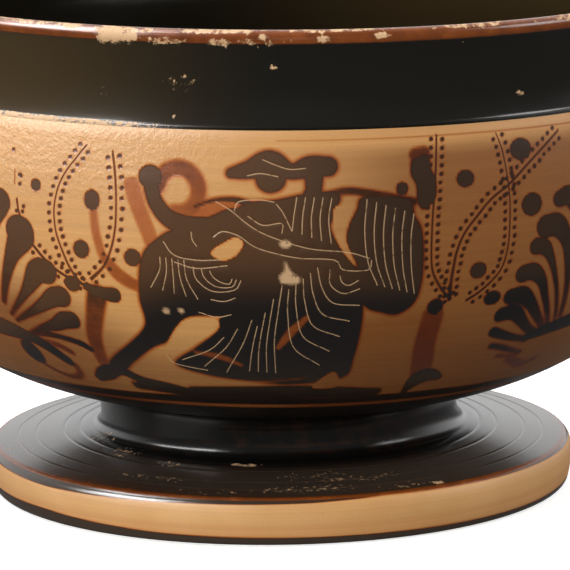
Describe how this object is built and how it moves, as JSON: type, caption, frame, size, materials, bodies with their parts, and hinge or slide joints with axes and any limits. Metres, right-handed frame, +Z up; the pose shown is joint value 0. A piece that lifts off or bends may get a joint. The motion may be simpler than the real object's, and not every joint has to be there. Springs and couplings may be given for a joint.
{
  "type": "black-figure bowl",
  "caption": "Deep round fired-clay bowl with a hollow lip, rounded rim, short stem, broad disc foot and loop handles, painted in black gloss on bare clay.",
  "frame": {"origin": "middle of the foot's underside, on the level the bowl stands on", "axes": "+Z up through the middle of the foot, +X towards one handle, the painted front faces -Y"},
  "size_m": [0.2798, 0.203, 0.1249],
  "materials": {
    "fired_clay": "orange clay, smoothed and slightly polished",
    "black_gloss": "black clay slip, fired to a soft gloss"
  },
  "bodies": {
    "root": {"bowl": "fired_clay"}
  },
  "joints": []
}
